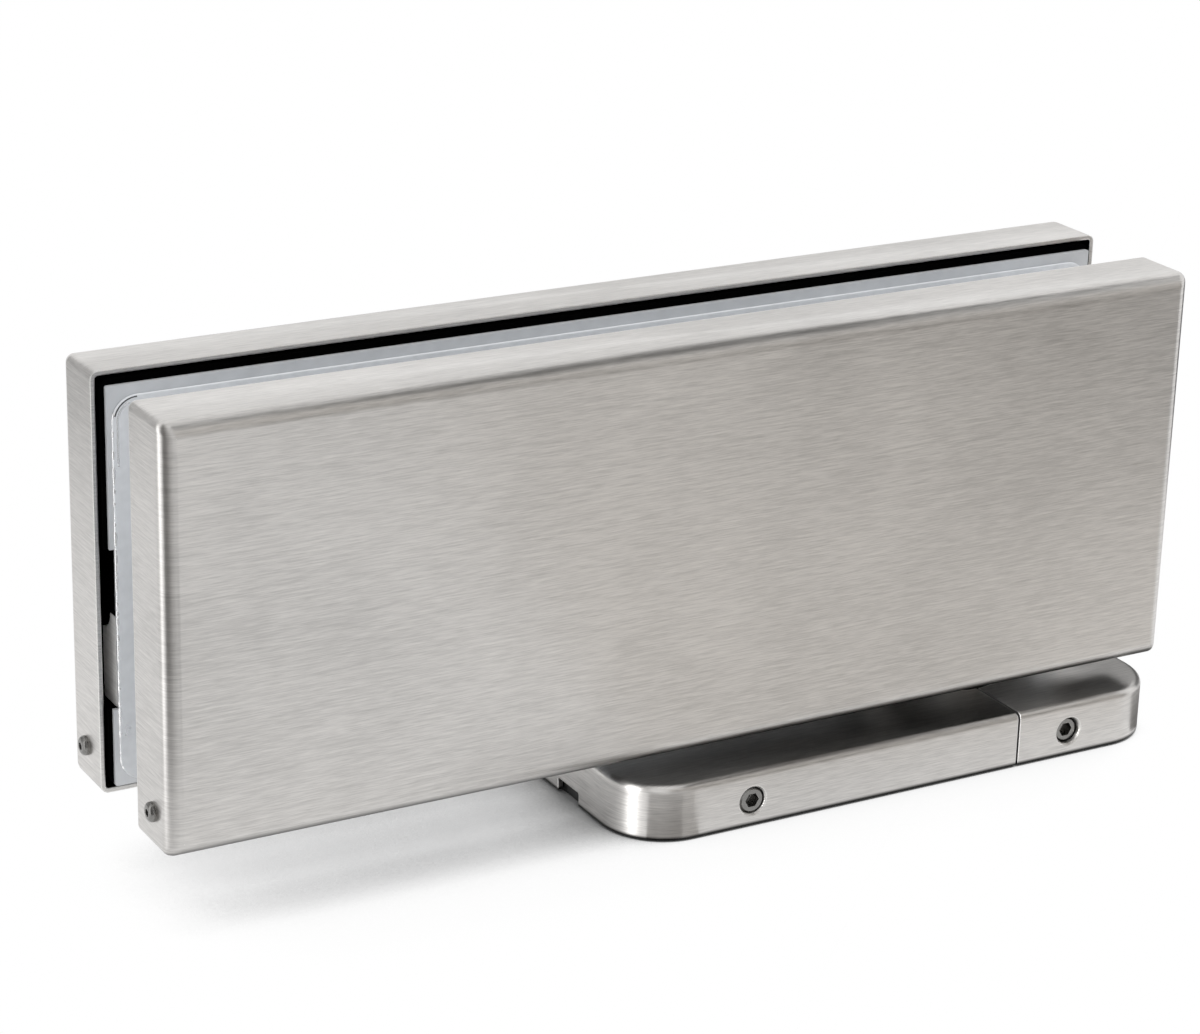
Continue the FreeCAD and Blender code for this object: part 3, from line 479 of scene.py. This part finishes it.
# Painted shadow: a dark bead laid in the groove at a pad's corner, where there is only shade.
GROOVE_SHADOW_FINISH = Finish(
    slot="pad_groove_shadow", colour=(0.03, 0.033, 0.036), metallic=0.0, roughness=0.5, grain=Grain.MOULDED,
    grain_width=0.0008, grain_depth=0.00001, colour_share=0.2, roughness_share=0.1,
)


@dataclass
class Dressing:
    """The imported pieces, each in the finish of its own slot."""

    finishes: Sequence[Finish]

    def build(self) -> None:
        """Give each piece its finish."""
        made = {finish.slot: finish.build() for finish in self.finishes}
        for subpart in frame["record"]["subparts"]:
            piece = frame["nodes"][subpart["node"]]
            piece.data.materials.clear()
            piece.data.materials.append(made[subpart["material_slot"]])
            log.info("%s in %s", subpart["node"], subpart["material_slot"])


@dataclass
class Tube:
    """A thin round bead that follows a line on the glass side of a pad."""

    sides: int = 10

    def build(self, name: str, line: Sequence[Vector], radii: Sequence[float]) -> bpy.types.Object:
        """Sweep a circle along a line that lies in an upright plane across Y.

        Args:
            name: the piece's name.
            line: the points of the line.
            radii: the bead's radius at each point.

        Returns:
            The closed bead.
        """
        rings = []
        vertices = []
        for index, (point, radius) in enumerate(zip(line, radii)):
            ahead = line[min(index + 1, len(line) - 1)] - line[max(index - 1, 0)]
            outward = ACROSS.cross(ahead).normalized()
            rings.append(range(len(vertices), len(vertices) + self.sides))
            for side in range(self.sides):
                turn = 2.0 * math.pi * side / self.sides
                spoke = outward * math.cos(turn) + ACROSS * math.sin(turn)
                vertices.append(point + spoke * radius)
        faces = [tuple(rings[0]), tuple(reversed(rings[-1]))]
        for one, other in zip(rings, rings[1:]):
            for side in range(self.sides):
                after = (side + 1) % self.sides
                faces.append((one[side], other[side], other[after], one[after]))
        piece = new_piece(name, vertices, faces)
        self.smooth(piece.data)
        return piece

    @staticmethod
    def smooth(mesh: bpy.types.Mesh) -> None:
        """Turn a bead's faces outwards, and shade them as one round surface.

        Args:
            mesh: the bead's mesh.
        """
        mesh.validate()
        fresh = bmesh.new()
        fresh.from_mesh(mesh)
        bmesh.ops.recalc_face_normals(fresh, faces=fresh.faces)
        fresh.to_mesh(mesh)
        fresh.free()
        for face in mesh.polygons:
            face.use_smooth = True


class Side(StrEnum):
    """One of the two halves that clamp the glass."""

    FRONT = "front"
    REAR = "rear"


@dataclass
class PadTrim:
    """The lip round a glass pad, with a painted shadow line in its groove and the inner lip at its seen
    corner.

    Starts and ends are depths below the pad's top, and reaches go from its left edge. The ones that are
    named shares are shares of the corner's radius, and the inner lip sinks by a share of its own radius.
    """

    side: Side
    body: str = "door"
    corner: float = 0.0042
    corner_parts: int = 12
    block_gap: float = 0.0194
    step: float = 0.0006
    edge_radius: float = 0.00025
    lip_radius: float = 0.00032
    lip_reach: float = 0.0009
    lip_start_share: float = 0.6
    wear: float = 0.4
    seed: int = 7
    inner_radius: float = 0.00024
    inner_inset: float = 0.0007
    inner_reach_share: float = 0.7
    inner_start_share: float = 0.2
    inner_end: float = 0.012
    inner_sink_share: float = 0.7
    groove_shadow_radius: float = 0.00011
    groove_shadow_inset: float = 0.0001
    groove_shadow_reach_share: float = 1.1
    groove_shadow_end_share: float = 0.75
    flap_height: float = 0.0276
    flap_corners: tuple[tuple[float, float], ...] = (
        (0.0006, -0.0010), (0.0009, 0.0011), (0.0018, 0.0003), (0.0012, -0.0001), (0.0011, -0.0008),
    )
    flap_thickness: float = 0.00016

    def outline(self, inset: float) -> list[Vector]:
        """List the points of the pad's outer edge, from the block round the far side and back to it.

        Args:
            inset: how far inside the edge.

        Returns:
            Points in the plane of the pad's glass side.
        """
        low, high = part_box(f"{self.side}_glass_pad")
        face = low[1] if self.side is Side.REAR else high[1]
        left, right = low[0] + inset, high[0] - inset
        bottom, top = low[2] + inset, high[2] - inset
        radius = self.corner - inset
        turns = (
            (left + radius, bottom + radius, 270.0), (left + radius, top - radius, 180.0),
            (right - radius, top - radius, 90.0), (right - radius, bottom + radius, 0.0),
        )
        corners = [Vector((-self.block_gap, face, bottom))]
        for x, z, start in turns:
            for part in range(self.corner_parts + 1):
                angle = math.radians(start - 90.0 * part / self.corner_parts)
                corners.append(Vector((x + radius * math.cos(angle), face, z + radius * math.sin(angle))))
        corners.append(Vector((self.block_gap, face, bottom)))
        return self.divided(corners)

    def divided(self, corners: Sequence[Vector]) -> list[Vector]:
        """Divide a line, so that its points are no further apart than one step.

        Args:
            corners: the points of the line.

        Returns:
            These points and the ones between them.
        """
        points = [corners[0]]
        for start, end in zip(corners, corners[1:]):
            parts = max(1, math.ceil((end - start).length / self.step))
            points.extend(start.lerp(end, part / parts) for part in range(1, parts + 1))
        return points

    def stretch(
        self, line: Sequence[Vector], reach: float, start: float = 0.0, end: float = math.inf,
    ) -> list[Vector]:
        """Keep the stretch of a line near the left edge, between two depths below the pad's top.

        Args:
            line: the points of the line.
            reach: how far from the pad's left edge it may go.
            start: the depth where the stretch starts.
            end: the depth where it ends.

        Returns:
            The points that are kept.
        """
        low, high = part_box(f"{self.side}_glass_pad")
        near = [point for point in line if point.x < low[0] + reach]
        return [point for point in near if start <= high[2] - point.z <= end]

    def build(self) -> None:
        """Make the pad's rounded edge, its pale lip, the painted groove shadow and the inner lip, and dress
        them.
        """
        inwards = 1.0 if self.side is Side.REAR else -1.0
        draw = random.Random(self.seed)
        lip_paint = LIP_FINISH.build()
        groove_shadow_paint = GROOVE_SHADOW_FINISH.build()
        pad_paint = frame["nodes"][f"{self.side}_glass_pad"].data.materials[0]
        edge = self.outline(0.0)
        lip = self.stretch(edge, self.lip_reach, self.corner * self.lip_start_share)
        worn = [self.lip_radius * (1.0 + self.wear * (draw.random() - 0.5)) for _ in lip]
        inner = self.stretch(
            self.outline(self.inner_inset), self.corner * self.inner_reach_share,
            self.corner * self.inner_start_share, self.inner_end,
        )
        inner_sink = self.inner_radius * self.inner_sink_share
        # The dark bead in the corner's groove is a painted shadow line.
        groove_shadow = self.stretch(
            self.outline(self.groove_shadow_inset), self.corner * self.groove_shadow_reach_share,
            end=self.corner * self.groove_shadow_end_share,
        )
        beads = (
            ("edge", edge, [self.edge_radius] * len(edge), pad_paint, self.edge_radius),
            ("lip", lip, worn, lip_paint, self.lip_radius),
            ("inner_lip", inner, [self.inner_radius] * len(inner), lip_paint, inner_sink),
            ("groove_shadow", groove_shadow, [self.groove_shadow_radius] * len(groove_shadow), groove_shadow_paint, 0.0),
        )
        for name, line, radii, paint, sink in beads:
            sunk = [point + Vector((0.0, inwards * sink, 0.0)) for point in line]
            self.fit(Tube().build(f"{self.side}_pad_{name}", sunk, radii), paint)
        if self.side is Side.REAR:
            self.fit(self.flap(), lip_paint)

    def flap(self) -> bpy.types.Object:
        """Make the torn corner of protective film that is left beside the lip.

        Returns:
            A closed thin sheet.
        """
        low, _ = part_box(f"{self.side}_glass_pad")
        count = len(self.flap_corners)
        vertices = []
        for depth in (-0.5, 0.5):
            for x, z in self.flap_corners:
                vertices.append((low[0] + x, low[1] + depth * self.flap_thickness, self.flap_height + z))
        faces = [tuple(range(count)), tuple(reversed(range(count, 2 * count)))]
        for corner in range(count):
            after = (corner + 1) % count
            faces.append((after, corner, corner + count, after + count))
        return new_piece("rear_pad_film", vertices, faces)

    def fit(self, piece: bpy.types.Object, paint: bpy.types.Material) -> None:
        """Dress a bead or sheet of the pad, and let it move with the door.

        Args:
            piece: the bead or sheet.
            paint: its material.
        """
        piece.data.materials.append(paint)
        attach(piece, self.body)
        log.info("%s on %s", piece.name, self.body)


@dataclass(frozen=True)
class Card:
    """An upright card beside the object, which only mirroring metal sees.

    Each post gives x, y and the heights of the card's foot and top there. A card with a glow shines by
    itself. Where reach is given, only metal that is nearer than that sees the card, and it fades from
    fade_start, a share of its reach.
    """

    name: str
    colour: Colour
    posts: tuple[tuple[float, float, float, float], ...]
    glow: float = 0.0
    reach: float = 0.0
    fade_start: float = 0.5

    def corners(self) -> list[Point]:
        """List the card's corners.

        Returns:
            The foot and the top of each post in turn.
        """
        ends = []
        for x, y, foot, top in self.posts:
            ends.extend(((x, y, foot), (x, y, top)))
        return ends

    def paper(self) -> bpy.types.Material:
        """Make the card's material.

        Returns:
            The material, named after the card.
        """
        material, graph = new_material(self.name)
        inputs = {"Color": opaque(self.colour)}
        if self.glow:
            shader = graph.node("ShaderNodeEmission", None, {**inputs, "Strength": self.glow})
        else:
            shader = graph.node("ShaderNodeBsdfDiffuse", None, inputs)
        if self.reach:
            length = graph.node("ShaderNodeLightPath", output="Ray Length")
            away = length.between(self.reach * self.fade_start, self.reach)
            unseen = graph.node("ShaderNodeBsdfTransparent")
            shader = graph.node("ShaderNodeMixShader", None, {0: away, 1: shader, 2: unseen})
        graph.node("ShaderNodeOutputMaterial", None, {"Surface": shader})
        return material

    def build(self) -> None:
        """Stretch the card from post to post, and hide it from all but mirrored rays."""
        faces = [(2 * at, 2 * at + 2, 2 * at + 3, 2 * at + 1) for at in range(len(self.posts) - 1)]
        card = new_piece(self.name, self.corners(), faces)
        card.data.materials.append(self.paper())
        card.visible_camera = False
        card.visible_diffuse = False
        card.visible_shadow = False
        card.visible_transmission = False


@dataclass(frozen=True)
class Mat(Card):
    """A card that lies on the floor. Each post gives x and y of its near end and then of its far end."""

    lift: float = 0.0003

    def corners(self) -> list[Point]:
        """List the mat's corners.

        Returns:
            The near and the far end of each post in turn.
        """
        ends = []
        for near_x, near_y, far_x, far_y in self.posts:
            ends.extend(((near_x, near_y, self.lift), (far_x, far_y, self.lift)))
        return ends


CARDS = (
    Card("left_light_card", WHITE, (
        (-0.2324, -0.0126, 0.0, 0.14), (-0.2297, -0.0015, 0.0, 0.14), (-0.2250, 0.0090, 0.0, 0.14),
    ), glow=1.9),
    Card("left_card", (0.22, 0.215, 0.21), (
        (-0.2423, -0.0307, 0.0, 0.40), (-0.2364, -0.0506, 0.0, 0.40), (-0.2242, -0.0687, 0.0, 0.40),
    )),
    Card("left_mid_card", (0.40, 0.395, 0.39), (
        (-0.2242, -0.0687, 0.0, 0.40), (-0.2161, -0.0762, 0.0, 0.40), (-0.2080, -0.0816, 0.0, 0.40),
    )),
    Card("left_pale_card", (0.66, 0.655, 0.65), (
        (-0.2080, -0.0816, 0.0, 0.40), (-0.1827, -0.0903, 0.0, 0.40),
    )),
    Card("left_faint_card", (0.88, 0.88, 0.88), (
        (-0.1827, -0.0903, 0.0, 0.40), (-0.1470, -0.0860, 0.0, 0.40),
    )),
    Card("front_low_card", (0.22, 0.21, 0.20), (
        (-0.16, -0.34, 0.05, 0.13), (0.06, -0.36, 0.02, 0.13),
    )),
    Card("front_right_low_card", (0.26, 0.245, 0.23), (
        (0.06, -0.36, 0.02, 0.13), (0.10, -0.29, 0.0, 0.12),
        (0.13, -0.21, 0.0, 0.11), (0.22, -0.13, 0.0, 0.11),
    )),
    Card("front_mid_card", (0.70, 0.675, 0.645), (
        (-0.16, -0.34, 0.13, 0.44), (0.06, -0.36, 0.13, 0.42), (0.10, -0.29, 0.12, 0.36),
        (0.13, -0.21, 0.11, 0.30), (0.22, -0.13, 0.11, 0.25),
    )),
    Card("high_right_card", (0.07, 0.068, 0.066), (
        (0.30, -0.73, 0.88, 1.75), (0.62, -0.42, 0.88, 1.75),
        (0.73, -0.02, 0.95, 1.75), (0.56, 0.47, 1.00, 1.75),
    )),
    Card("right_card", (0.10, 0.10, 0.10), (
        (0.19, -0.005, 0.0, 0.09), (0.17, 0.09, 0.0, 0.09), (0.13, 0.14, 0.0, 0.09),
    )),
    Card("back_right_card", (0.03, 0.03, 0.03), (
        (0.13, 0.14, 0.0, 0.09), (0.07, 0.21, 0.0, 0.09), (-0.06, 0.25, 0.0, 0.09),
    )),
    Card("back_left_card", (0.64, 0.64, 0.64), (
        (-0.32, 0.06, 0.03, 0.30), (-0.28, 0.12, 0.03, 0.30),
        (-0.24, 0.15, 0.03, 0.30), (-0.19, 0.165, 0.03, 0.30),
    )),
    Mat("base_corner_mat", (0.40, 0.39, 0.38), (
        (-0.0790, -0.0215, -0.1100, -0.0460), (-0.0730, -0.0252, -0.0660, -0.0640),
    ), reach=0.045),
    Mat("base_corner_pale_mat", (0.70, 0.69, 0.68), (
        (-0.0730, -0.0252, -0.0660, -0.0640), (-0.0695, -0.0252, -0.0500, -0.0600),
    ), reach=0.045),
    Mat("base_right_mat", (0.25, 0.245, 0.24), (
        (0.0305, -0.0238, 0.0850, -0.0320), (0.0340, -0.0165, 0.0900, -0.0150),
        (0.0350, -0.0050, 0.0900, 0.0100), (0.0350, 0.0120, 0.0800, 0.0400),
    ), reach=0.045),
    Mat("front_mat", (0.87, 0.845, 0.815), (
        (-0.0640, -0.0440, -0.0300, -0.2500), (0.0900, -0.0360, 0.2000, -0.2500),
    )),
)


@dataclass(frozen=True)
class Lamp:
    """A rectangular lamp that faces a target. Where nodes are named, it lights these alone."""

    name: str
    place: Point
    target: Point
    width: float
    height: float
    watts: float
    mirrored: bool = True
    lit_nodes: tuple[str, ...] = ()

    def build(self) -> None:
        """Hang the lamp."""
        light = bpy.data.lights.new(self.name, "AREA")
        light.shape = "RECTANGLE"
        light.size = self.width
        light.size_y = self.height
        light.energy = self.watts
        holder = bpy.data.objects.new(self.name, light)
        bpy.context.scene.collection.objects.link(holder)
        holder.location = self.place
        facing = Vector(self.target) - Vector(self.place)
        holder.rotation_euler = facing.to_track_quat("-Z", "Y").to_euler()
        holder.visible_camera = False
        holder.visible_glossy = self.mirrored
        if self.lit_nodes:
            lit = bpy.data.collections.new(f"lit_by_{self.name}")
            for node in self.lit_nodes:
                lit.objects.link(frame["nodes"][node])
            holder.light_linking.receiver_collection = lit


LAMPS = (
    Lamp(
        "overhead_lamp", place=(-0.1, 0.15, 1.1), target=(-0.05, 0.0, 0.03), width=1.0, height=0.8,
        watts=4.0, mirrored=False,
    ),
    Lamp(
        "base_lamp", place=(-1.10, -0.235, 0.25), target=(-0.07, -0.03, 0.01), width=0.32, height=0.5,
        watts=11.0, lit_nodes=("base_shell", "base_end_cap"),
    ),
)


@dataclass
class Studio:
    """Floor, cards, world, lamps and camera."""

    floor_reach: float = 4.0
    floor_drop: float = 0.0001
    floor_colour: Colour = (0.93, 0.93, 0.93)
    fade_start: float = 0.35
    fade_end: float = 0.9
    floor_gloss: float = 0.06
    floor_roughness: float = 0.14
    open_reach: float = 0.05
    open_range: tuple[float, float] = (0.15, 0.61)
    open_samples: int = 8
    shade_colour: Colour = (0.24, 0.24, 0.24)
    shade_reach: float = 0.02
    shade_range: tuple[float, float] = (0.36, 0.82)
    ambient: float = 0.82
    camera_place: Point = (-0.362772, -0.494934, 0.264411)
    camera_azimuth: float = 29.920
    camera_elevation: float = 20.192
    camera_roll: float = 1.536
    picture_width: float = 1200.0
    focal_pixels: float = 3408.97

    def build(self) -> None:
        """Set up everything round the object."""
        self.lay_floor()
        for card in CARDS:
            card.build()
        self.light_world()
        for lamp in LAMPS:
            lamp.build()
        self.place_camera()
        bpy.context.scene.view_settings.view_transform = "Standard"

    def lay_floor(self) -> None:
        """Lay the floor a little below the object."""
        reach = self.floor_reach
        corners = [(-reach, -reach), (reach, -reach), (reach, reach), (-reach, reach)]
        floor = new_piece("studio_floor", [(x, y, -self.floor_drop) for x, y in corners], [(0, 1, 2, 3)])
        floor.data.materials.append(self.floor_material())

    def floor_material(self) -> bpy.types.Material:
        """Make a pale floor that keeps the object's shadow and fades to the white background.

        Returns:
            The floor's material.
        """
        material, graph = new_material("studio_floor")
        matt = graph.node("ShaderNodeBsdfDiffuse", None, {"Color": opaque(self.floor_colour)})
        dim = graph.node("ShaderNodeBsdfDiffuse", None, {"Color": opaque(self.shade_colour)})
        sheen = graph.node("ShaderNodeBsdfGlossy", None, {"Roughness": self.floor_roughness})
        lit = self.openness(graph, self.shade_reach).between(*self.shade_range)
        shaded = graph.node("ShaderNodeMixShader", None, {0: lit, 1: dim, 2: matt})
        floor_top = graph.node("ShaderNodeMixShader", None, {0: self.floor_gloss, 1: shaded, 2: sheen})
        white = graph.node("ShaderNodeEmission", None, {"Color": opaque(WHITE), "Strength": 1.0})
        distance = graph.node("ShaderNodeVectorMath", {"operation": "LENGTH"}, {0: graph.place()}, "Value")
        far = distance.between(self.fade_start, self.fade_end)
        clear = self.openness(graph, self.open_reach).between(*self.open_range)
        share = far.at_least(clear) * self.seen_rays(graph)
        shader = graph.node("ShaderNodeMixShader", None, {0: share, 1: floor_top, 2: white})
        graph.node("ShaderNodeOutputMaterial", None, {"Surface": shader})
        return material

    def openness(self, graph: Graph, reach: float) -> Socket:
        """Return how open the floor is within a reach: 1 in the open, and less beside the object."""
        settings = {"samples": self.open_samples}
        return graph.node("ShaderNodeAmbientOcclusion", settings, {"Distance": reach}, "AO")

    @staticmethod
    def seen_rays(graph: Graph) -> Socket:
        """Return 1 for rays that show the background: straight, mirrored or through glass."""
        path = graph.node("ShaderNodeLightPath", output="Is Camera Ray")
        return path.at_least(path.sibling("Is Glossy Ray")).at_least(path.sibling("Is Transmission Ray"))

    def light_world(self) -> None:
        """Fill with even light, and show plain white behind."""
        world = bpy.data.worlds.new("studio")
        bpy.context.scene.world = world
        world.use_nodes = True
        graph = Graph(world.node_tree)
        inputs = {"Color": opaque(WHITE)}
        fill = graph.node("ShaderNodeBackground", None, {**inputs, "Strength": self.ambient})
        white = graph.node("ShaderNodeBackground", None, {**inputs, "Strength": 1.0})
        shader = graph.node("ShaderNodeMixShader", None, {0: self.seen_rays(graph), 1: fill, 2: white})
        graph.node("ShaderNodeOutputWorld", None, {"Surface": shader})

    def place_camera(self) -> None:
        """Set the camera where the picture was taken from."""
        azimuth = math.radians(self.camera_azimuth)
        elevation = math.radians(self.camera_elevation)
        roll = math.radians(self.camera_roll)
        look = Vector((
            math.sin(azimuth) * math.cos(elevation),
            math.cos(azimuth) * math.cos(elevation),
            -math.sin(elevation),
        ))
        right = Vector((math.cos(azimuth), -math.sin(azimuth), 0.0))
        up = right.cross(look)
        tilted_right = right * math.cos(roll) + up * math.sin(roll)
        tilted_up = up * math.cos(roll) - right * math.sin(roll)
        data = bpy.data.cameras.new("camera")
        data.sensor_fit = "HORIZONTAL"
        data.lens = data.sensor_width * self.focal_pixels / self.picture_width
        camera = bpy.data.objects.new("camera", data)
        bpy.context.scene.collection.objects.link(camera)
        turn = Matrix((tilted_right, tilted_up, -look)).transposed()
        camera.matrix_world = Matrix.Translation(self.camera_place) @ turn.to_4x4()
        bpy.context.scene.camera = camera


def main() -> None:
    """Build every part of the scene in order."""
    logging.basicConfig(level=logging.INFO, format="%(name)s: %(message)s")
    Dressing(FINISHES).build()
    for side in Side:
        PadTrim(side).build()
    Studio().build()


if __name__ == "__main__":
    main()
